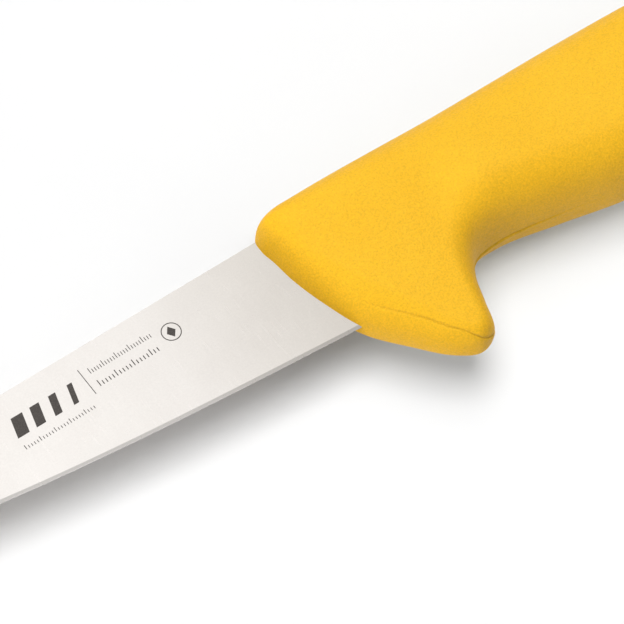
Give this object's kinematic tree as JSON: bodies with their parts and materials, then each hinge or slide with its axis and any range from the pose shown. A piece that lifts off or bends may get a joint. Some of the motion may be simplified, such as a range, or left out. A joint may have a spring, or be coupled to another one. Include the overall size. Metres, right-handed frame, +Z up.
{
  "type": "boning knife",
  "caption": "Boning knife with a narrow straight-backed blade, a moulded yellow handle, a deep finger guard and a hanging hole in the butt.",
  "frame": {"origin": "centre of the underside of the whole knife's box, on the plane it lies on", "axes": "the knife lies on its side: +X runs from the point to the butt, +Y from the cutting edge to the spine, +Z up, square to the flat of the blade"},
  "size_m": [0.265, 0.0424, 0.022],
  "materials": {
    "blade": "fine ground along the blade",
    "handle_core": "as moulded",
    "handle_grip": "fine spark-eroded grain"
  },
  "bodies": {
    "root": {"blade": "blade", "handle_core": "handle_core", "handle_grip": "handle_grip"}
  },
  "joints": []
}
